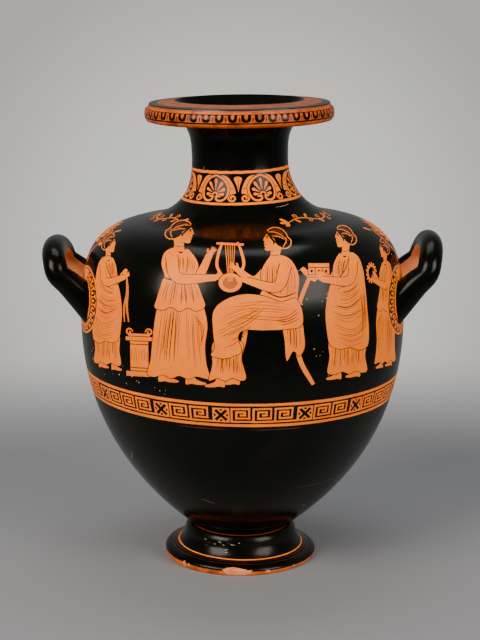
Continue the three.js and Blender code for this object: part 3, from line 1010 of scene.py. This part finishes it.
def linear(hexColour):
    parts = [int(hexColour[k:k + 2], 16) / 255 for k in (1, 3, 5)]
    return [p / 12.92 if p <= 0.04045 else ((p + 0.055) / 1.055) ** 2.4 for p in parts] + [1.0]


def addNode(material, kind, values=None, links=None):
    # values: sockets or settings by name; links: socket name to (node, output)
    made = material.node_tree.nodes.new(kind)
    for name, value in (values or {}).items():
        if isinstance(name, str) and hasattr(made, name):
            setattr(made, name, value)
        else:
            made.inputs[name].default_value = value
    for name, (source, output) in (links or {}).items():
        material.node_tree.links.new(source.outputs[output], made.inputs[name])
    return made


def spread(material, source, output, values):
    return addNode(material, "ShaderNodeMapRange", values, {"Value": (source, output)})


def blend(material, first, second, share):
    values = {"data_type": "RGBA", 6: linear(first), 7: linear(second)}
    return addNode(material, "ShaderNodeMix", values, {0: (share, "Result")})


def noise(material, coords, size, values):
    values = {"Scale": 1 / (size * mm), **values}
    return addNode(material, "ShaderNodeTexNoise", values, {"Vector": (coords, "Object")})


def finishMaterial(name, look):
    material = bpy.data.materials.new(name)
    material.use_nodes = True
    material.node_tree.nodes.clear()
    coords = addNode(material, "ShaderNodeTexCoord")
    cloud = noise(material, coords, look["patch"], {"Detail": 5.0, "Roughness": 0.6})
    share = spread(material, cloud, "Fac", {"From Min": look["patchFrom"], "From Max": look["patchTo"]})
    colour = blend(material, look["colour"], look["other"], share)
    dull = spread(material, share, "Result", {"To Min": look["rough"], "To Max": look["rougher"]})
    grain = noise(material, coords, look["grain"], {"Detail": 3.0})
    bump = addNode(material, "ShaderNodeBump", {"Strength": look["bump"], "Distance": look["depth"] * mm},
                   {"Height": (grain, "Fac")})
    shader = addNode(
        material, "ShaderNodeBsdfPrincipled", {"Specular IOR Level": look["shine"]},
        {"Base Color": (colour, 2), "Roughness": (dull, "Result"), "Normal": (bump, "Normal")})
    addNode(material, "ShaderNodeOutputMaterial", {}, {"Surface": (shader, "BSDF")})
    return material


# Patches, grain and depth in mm; the grain is drawn coarser than in real clay, so that it shows
looks = dict(
    # deep glossy black with a brown cast where the slip lies thin
    blackSlip=dict(colour="#060906", other="#170d07", patch=45, patchFrom=0.52, patchTo=0.78, rough=0.2,
                   rougher=0.3, grain=9.0, bump=0.2, depth=0.3, shine=0.13),
    # warm orange clay left bare, lightly burnished
    reservedClay=dict(colour="#ff840c", other="#f46c06", patch=22, patchFrom=0.4, patchTo=0.75,
                      rough=0.48, rougher=0.6, grain=3.0, bump=0.2, depth=0.1, shine=0.2),
    # thinned slip of the soft inner lines, brown on the clay
    diluteWash=dict(colour="#b05a20", other="#8a4016", patch=8, patchFrom=0.4, patchTo=0.7, rough=0.48,
                    rougher=0.6, grain=3.0, bump=0.2, depth=0.1, shine=0.2),
    # worn brown wash on top of the lip
    lipWash=dict(colour="#94522e", other="#6d3720", patch=14, patchFrom=0.42, patchTo=0.7, rough=0.45,
                 rougher=0.6, grain=3.0, bump=0.3, depth=0.15, shine=0.35),
    # fresh pink break at the chips
    brokenClay=dict(colour="#dd8a5c", other="#bd6a40", patch=6, patchFrom=0.4, patchTo=0.7, rough=0.85,
                    rougher=0.95, grain=1.6, bump=0.8, depth=0.5, shine=0.2),
    # pale rubbed specks
    abrasion=dict(colour="#b9b0a2", other="#7d6a58", patch=5, patchFrom=0.35, patchTo=0.7, rough=0.7,
                  rougher=0.8, grain=2.0, bump=0.3, depth=0.1, shine=0.2),
    # slip rubbed so thin that the red clay shows
    thinSlip=dict(colour="#5c240f", other="#2a1008", patch=12, patchFrom=0.4, patchTo=0.65, rough=0.35,
                  rougher=0.5, grain=3.0, bump=0.2, depth=0.1, shine=0.35),
    # orange clay darkened by handling and dirt
    wornClay=dict(colour="#cf5f12", other="#823409", patch=9, patchFrom=0.42, patchTo=0.68, rough=0.42,
                  rougher=0.55, grain=3.0, bump=0.3, depth=0.15, shine=0.2),
    # plain dull clay inside the jar and under the handles
    bareClay=dict(colour="#e8945a", other="#cd7c46", patch=25, patchFrom=0.4, patchTo=0.7, rough=0.75,
                  rougher=0.85, grain=3.0, bump=0.4, depth=0.2, shine=0.25),
)
materials = [finishMaterial(title, looks[name]) for name, title in titles.items()]
vase = newMesh("Hydria", verts, faces, chosen, materials)
print("jar meshed")

# Handles: round bars, bare clay on the side towards the hand
handles = dict(
    halfLoop=[(141, 45, 259), (153, 43.5, 272), (167, 42.5, 286), (178, 41.5, 296), (181.5, 37, 306.5),
              (184, 22, 313.5), (185, 0, 315.5)],
    backRoute=[(0, 40, 400), (0, 56, 410), (0, 76, 415), (0, 96, 407), (0, 109, 387), (0, 114, 362),
               (0, 116, 334)],
    radius=11.3, rootRadius=15.8, rootShare=0.3, backRootRadius=14.5, backRootShare=0.25,
    sides=28, steps=64, barFrom=306.0, barTop=315.5, barRise=3.0, clayArc=3,
    loopMiddle=(160, 0, 285), backMiddle=(0, 70, 380), coreStep=6, coreSides=96,
)


def easeIn(x, low, high):
    t = np.clip((x - low) / (high - low), 0, 1)
    return t * t * (3 - 2 * t)


def loopRoute(side, rise):
    half = np.array(handles["halfLoop"], float)
    route = np.vstack([half, half[-2::-1] * (1, -1, 1)])
    route[:, 2] += rise * easeIn(route[:, 2], handles["barFrom"], handles["barTop"])
    return route * (side, 1, 1)


def evenly(route, count):
    line = smooth(route, step=1.0)
    along = np.concatenate([[0], np.cumsum(np.linalg.norm(np.diff(line, axis=0), axis=1))])
    t = np.linspace(0, along[-1], count)
    return np.column_stack([np.interp(t, along, line[:, k]) for k in range(3)])


def barFrame(line, middle):
    run = np.gradient(line, axis=0)
    run /= np.linalg.norm(run, axis=1)[:, None]
    inward = np.array(middle, float) - line
    inward -= run * (inward * run).sum(1)[:, None]
    inward /= np.linalg.norm(inward, axis=1)[:, None]
    return run, inward, np.cross(run, inward)


def tubeFaces(rows, sides):
    # Rings joined by four-sided faces, and a cap at each end
    quads = []
    for i in range(rows - 1):
        for j in range(sides):
            k = (j + 1) % sides
            quads.append([i * sides + j, i * sides + k, (i + 1) * sides + k, (i + 1) * sides + j])
    return quads + [list(range(sides))[::-1], [(rows - 1) * sides + j for j in range(sides)]]


def bar(name, route, radius, rootRadius, rootShare, middle, clayArc):
    count, sides = handles["steps"], handles["sides"]
    line = evenly(route, count)
    run, inward, across = barFrame(line, middle)
    t = np.linspace(0, 1, count)
    swell = 1 - easeIn(np.minimum(t, 1 - t), 0, rootShare)
    radii = radius + (rootRadius - radius) * swell
    phi = 2 * math.pi * np.arange(sides) / sides
    rings = line[:, None] + radii[:, None, None] * (np.cos(phi)[None, :, None] * inward[:, None]
                                                    + np.sin(phi)[None, :, None] * across[:, None])
    ring = [bareClay if min(j, sides - 1 - j) < clayArc else blackSlip for j in range(sides)]
    barChosen = ring * (count - 1) + [blackSlip, blackSlip]
    return newMesh(name, rings.reshape(-1, 3), tubeFaces(count, sides), barChosen, materials), line


def coreMesh():
    # A plug up to the middle of the wall, which cuts the bars off where they meet it
    outside = np.vstack([pieces[k] for k in ("stem", "belly", "shoulder", "neck")])
    wall = insetRun(outside, jar["wall"] / 2)[::handles["coreStep"]]
    theta = np.linspace(0, 2 * math.pi, handles["coreSides"], endpoint=False)
    rings = np.stack([wall[:, :1] * np.sin(theta), -wall[:, :1] * np.cos(theta),
                      np.repeat(wall[:, 1:], len(theta), 1)], -1)
    coreFaces = tubeFaces(len(wall), len(theta))
    return newMesh("Handle core", rings.reshape(-1, 3), coreFaces, [blackSlip] * len(coreFaces), materials)


def combine(piece, other, operation):
    modifier = piece.modifiers.new(operation.title(), "BOOLEAN")
    modifier.operation = operation
    modifier.solver = "MANIFOLD"
    modifier.object = other
    bpy.context.view_layer.objects.active = piece
    bpy.ops.object.modifier_apply(modifier=modifier.name)


core = coreMesh()
barMiddles = [np.array(handles["loopMiddle"]) * (-1, 1, 1), handles["loopMiddle"], handles["backMiddle"]]
loopSizes = (handles["radius"], handles["rootRadius"], handles["rootShare"])
backSizes = (handles["radius"], handles["backRootRadius"], handles["backRootShare"])
bars = [
    bar("Left bar", loopRoute(-1, 0), *loopSizes, barMiddles[0], handles["clayArc"]),
    bar("Right bar", loopRoute(1, handles["barRise"]), *loopSizes, barMiddles[1], handles["clayArc"]),
    bar("Back bar", np.array(handles["backRoute"], float), *backSizes, barMiddles[2], 0),
]
for piece, line in bars:
    combine(piece, core, "DIFFERENCE")
    combine(vase, piece, "UNION")
    bpy.data.objects.remove(piece)
bpy.data.objects.remove(core)
print("handles joined", len(vase.data.polygons), "faces")

# The jar leans: at each height, how far it stands to the side in mm and how it tilts in degrees
leanKnots = np.array([
    (0, -2.1, 0), (8, -2.1, -1.5), (32, -2, -0.8), (110, 0, -0.3), (250, 0, -0.3), (320, 0, 0.2),
    (365, -0.8, 1.2), (400, -2.4, 1.1), (440, -3, 0.5), (470, -3, 0.5),
])
bakeMap = dict(
    bodyTop=0.8, bodyWide=0.96, barFrom=0.82, barTo=0.99, barStart=0.08, barLong=0.84, barRound=0.8,
    offWall=0.9,      # a face further than this from the outline, in mm, is a handle's
)


def leanAt(z):
    k = np.clip(np.searchsorted(leanKnots[:, 0], z) - 1, 0, len(leanKnots) - 2)
    low, high = leanKnots[k], leanKnots[k + 1]
    t = np.clip((z - low[:, 0]) / (high[:, 0] - low[:, 0]), 0, 1)
    t = (t * t * (3 - 2 * t))[:, None]
    shift, tilt = (low[:, 1:] * (1 - t) + high[:, 1:] * t).T
    return shift, np.radians(tilt)


def nearestOf(points, targets):
    tree = KDTree(len(targets))
    for k, target in enumerate(targets):
        tree.insert(target, k)
    tree.balance()
    found = [tree.find(point)[1:] for point in points]
    return np.array([f[0] for f in found]), np.array([f[1] for f in found])


def flatPlace(points):
    return np.column_stack([np.hypot(points[:, 0], points[:, 1]), points[:, 2], np.zeros(len(points))])


def lieOnOutline(corners, pieceOf, near):
    # Place along the outline and the slope there, on the same side of an edge as the face
    place = flatPlace(corners)[:, :2]
    step = np.column_stack([np.cos(profile["turn"][near]), np.sin(profile["turn"][near])])
    here = np.column_stack([profile["r"][near], profile["z"][near]])
    s = profile["s"][near] + ((place - here) * step).sum(1)
    turn = np.zeros(len(s))
    for k in np.unique(pieceOf):
        own = pieceOf == k
        rows = pieceIndex == k
        s[own] = np.clip(s[own], profile["s"][rows][0], profile["s"][rows][-1])
        turn[own] = np.interp(s[own], profile["s"][rows], profile["turn"][rows])
    return s, turn


def dressMesh(mesh, lines):
    count = len(mesh.vertices)
    points = np.zeros(3 * count, np.float32)
    mesh.vertices.foreach_get("co", points)
    points = points.reshape(-1, 3).astype(float) / mm
    corner = np.zeros(len(mesh.loops), np.int32)
    mesh.loops.foreach_get("vertex_index", corner)
    sizes = np.zeros(len(mesh.polygons), np.int32)
    mesh.polygons.foreach_get("loop_total", sizes)
    faceOf = np.repeat(np.arange(len(sizes)), sizes)
    middle = np.zeros((len(sizes), 3))
    np.add.at(middle, faceOf, points[corner])
    middle /= sizes[:, None]

    outlinePoints = np.column_stack([profile["r"], profile["z"], np.zeros(len(profile["r"]))])
    nearFace, offFace = nearestOf(flatPlace(middle), outlinePoints)
    nearPoint, _ = nearestOf(flatPlace(points), outlinePoints)
    onBar = (offFace > bakeMap["offWall"])[faceOf]
    at = points[corner]
    # the nearest sample of the face's own piece of outline
    near = nearPoint[corner]
    own = pieceIndex[nearFace][faceOf]
    astray = pieceIndex[near] != own
    firstOf = np.searchsorted(pieceIndex, own)
    lastOf = np.searchsorted(pieceIndex, own, "right") - 1
    near = np.where(astray, np.where(pieceIndex[near] < own, firstOf, lastOf), near)
    s, turn = lieOnOutline(at, own, near)
    theta = np.arctan2(at[:, 0], -at[:, 1])
    normal = np.column_stack([np.sin(turn) * np.sin(theta), -np.sin(turn) * np.cos(theta), -np.cos(turn)])

    barPoints = np.vstack(lines)
    nearBar, _ = nearestOf(at[onBar], barPoints)
    barNear = barPoints[nearBar]
    run = np.vstack([np.gradient(line, axis=0) for line in lines])[nearBar]
    run /= np.linalg.norm(run, axis=1)[:, None]
    arm = at[onBar] - barNear
    arm -= run * (arm * run).sum(1)[:, None]
    normal[onBar] = arm / np.linalg.norm(arm, axis=1)[:, None]

    face = np.arctan2(middle[:, 0], -middle[:, 1])[faceOf]
    theta = face + (theta - face + math.pi) % (2 * math.pi) - math.pi
    uv = np.column_stack([0.5 + theta / (2 * math.pi) * bakeMap["bodyWide"],
                          bakeMap["bodyTop"] * s / sOf["end"]])
    uv[onBar] = barMap(at[onBar], nearBar, faceOf[onBar], lines)
    mesh.uv_layers.new(name="OFBake").data.foreach_set("uv", uv.astype(np.float32).ravel())

    shift, tilt = leanAt(points[:, 2])
    leaned = np.column_stack([points[:, 0] * np.cos(tilt) + shift, points[:, 1],
                              points[:, 2] + points[:, 0] * np.sin(tilt)])
    mesh.vertices.foreach_set("co", (leaned * mm).astype(np.float32).ravel())
    c, d = np.cos(tilt[corner]), np.sin(tilt[corner])
    normal = np.column_stack([normal[:, 0] * c - normal[:, 2] * d, normal[:, 1],
                              normal[:, 0] * d + normal[:, 2] * c])
    mesh.polygons.foreach_set("use_smooth", np.ones(len(sizes), bool))
    mesh.update()
    mesh.normals_split_custom_set(normal.tolist())


def barMap(at, nearBar, faceOf, lines):
    # Each bar has its own strip of the map, along it and round it
    barOf = np.repeat(np.arange(len(lines)), [len(line) for line in lines])[nearBar]
    along = np.concatenate([np.linspace(0, 1, len(line)) for line in lines])[nearBar]
    frames = [barFrame(line, middle) for line, middle in zip(lines, barMiddles)]
    inward = np.vstack([f[1] for f in frames])[nearBar]
    across = np.vstack([f[2] for f in frames])[nearBar]
    arm = at - np.vstack(lines)[nearBar]
    phi = np.arctan2((arm * across).sum(1), (arm * inward).sum(1))
    firstOf = np.unique(faceOf, return_index=True, return_inverse=True)
    anchor = phi[firstOf[1]][firstOf[2].reshape(-1)]
    phi = anchor + (phi - anchor + math.pi) % (2 * math.pi) - math.pi
    high = bakeMap["barTo"] - bakeMap["barFrom"]
    strip = (barOf + bakeMap["barStart"] + bakeMap["barLong"] * along) / len(lines)
    up = bakeMap["barFrom"] + high * (0.5 + phi / (2 * math.pi) * bakeMap["barRound"])
    return np.column_stack([strip, up])


pieceIndex = np.repeat(np.arange(len(pieces)), [len(piece) for piece in pieces.values()])
dressMesh(vase.data, [line for piece, line in bars])
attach(vase, "root")
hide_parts("hydria")
print("jar dressed")

# A plain pale floor that fades out, and soft gallery light from above and both sides
stage = dict(
    floorColour="#7f838a", floorRadius=0.95, floorRough=0.8, fade=(0.4, 0.95), wall="#bbb9b7",
    glow="#e9e7e4", glowEdge=(0.9816, 0.9995), dark="#1b1c1e", bright="#8d8d8d",
    ahead=(0, 0.984, -0.178), backEdge=(-0.3, 0.9), lightAim=(0, 0, 0.25),
)
lights = [  # name, place in m, size in m, power in W, colour
    ("Left softbox", (-1.7, -1.7, 1.5), (1.5, 1.5), 108.0, "#fff1e0"),
    ("Right softbox", (1.9, -1.6, 1.2), (1.3, 1.5), 74.0, "#fff4e8"),
    ("High softbox", (0.0, 0.35, 1.9), (1.2, 0.8), 12.0, "#ffffff"),
]


def softStep(edge):
    return {"interpolation_type": "SMOOTHSTEP", "From Min": edge[0], "From Max": edge[1]}


def buildStage():
    bpy.ops.mesh.primitive_circle_add(vertices=96, radius=stage["floorRadius"], fill_type="NGON",
                                      location=(0, 0, 0))
    floor = bpy.context.object
    floor.name = "Pale floor"
    material = bpy.data.materials.new("Pale matt floor")
    material.use_nodes = True
    material.node_tree.nodes.clear()
    coords = addNode(material, "ShaderNodeTexCoord")
    reach = addNode(material, "ShaderNodeVectorMath", {"operation": "LENGTH"}, {0: (coords, "Object")})
    fade = spread(material, reach, "Value", softStep(stage["fade"]))
    matt = addNode(material, "ShaderNodeBsdfPrincipled",
                   {"Base Color": linear(stage["floorColour"]), "Roughness": stage["floorRough"]})
    clear = addNode(material, "ShaderNodeBsdfTransparent")
    mixed = addNode(material, "ShaderNodeMixShader", {},
                    {0: (fade, "Result"), 1: (matt, "BSDF"), 2: (clear, "BSDF")})
    addNode(material, "ShaderNodeOutputMaterial", {}, {"Surface": (mixed, "Shader")})
    floor.data.materials.append(material)


def buildLight():
    for name, place, size, power, colour in lights:
        panel = bpy.data.lights.new(name, "AREA")
        panel.shape = "RECTANGLE"
        panel.size, panel.size_y = size
        panel.energy = power
        panel.color = linear(colour)[:3]
        lamp = bpy.data.objects.new(name, panel)
        lamp.location = place
        aim = Vector(stage["lightAim"]) - Vector(place)
        lamp.rotation_euler = aim.to_track_quat("-Z", "Y").to_euler()
        bpy.context.collection.objects.link(lamp)
    world = bpy.data.worlds.new("Grey gallery")
    bpy.context.scene.world = world
    world.use_nodes = True
    world.node_tree.nodes.clear()
    coords = addNode(world, "ShaderNodeTexCoord")
    rays = addNode(world, "ShaderNodeLightPath")
    ahead = addNode(world, "ShaderNodeVectorMath", {"operation": "DOT_PRODUCT", 1: stage["ahead"]},
                    {0: (coords, "Generated")})
    glow = spread(world, ahead, "Value", softStep(stage["glowEdge"]))
    low, high = stage["backEdge"]
    back = spread(world, ahead, "Value", {"From Min": low, "From Max": high})
    shown = blend(world, stage["wall"], stage["glow"], glow)
    light = blend(world, stage["dark"], stage["bright"], back)
    room = addNode(world, "ShaderNodeBackground", {}, {"Color": (light, 2)})
    wall = addNode(world, "ShaderNodeBackground", {}, {"Color": (shown, 2)})
    mixed = addNode(
        world, "ShaderNodeMixShader", {},
        {0: (rays, "Is Camera Ray"), 1: (room, "Background"), 2: (wall, "Background")})
    addNode(world, "ShaderNodeOutputWorld", {}, {"Surface": (mixed, "Shader")})


# From a little above, with a long lens, as in the photo
camera = dict(place=(-0.0024, -1.614, 0.5938), lens=93.25, lookDown=12.32)


def buildCamera():
    lens = bpy.data.cameras.new("Front camera")
    lens.lens = camera["lens"]
    view = bpy.data.objects.new("Front camera", lens)
    view.location = camera["place"]
    view.rotation_euler = (math.radians(90 - camera["lookDown"]), 0, 0)
    bpy.context.collection.objects.link(view)
    bpy.context.scene.camera = view


buildStage()
buildLight()
buildCamera()
print("stage, light and camera ready")
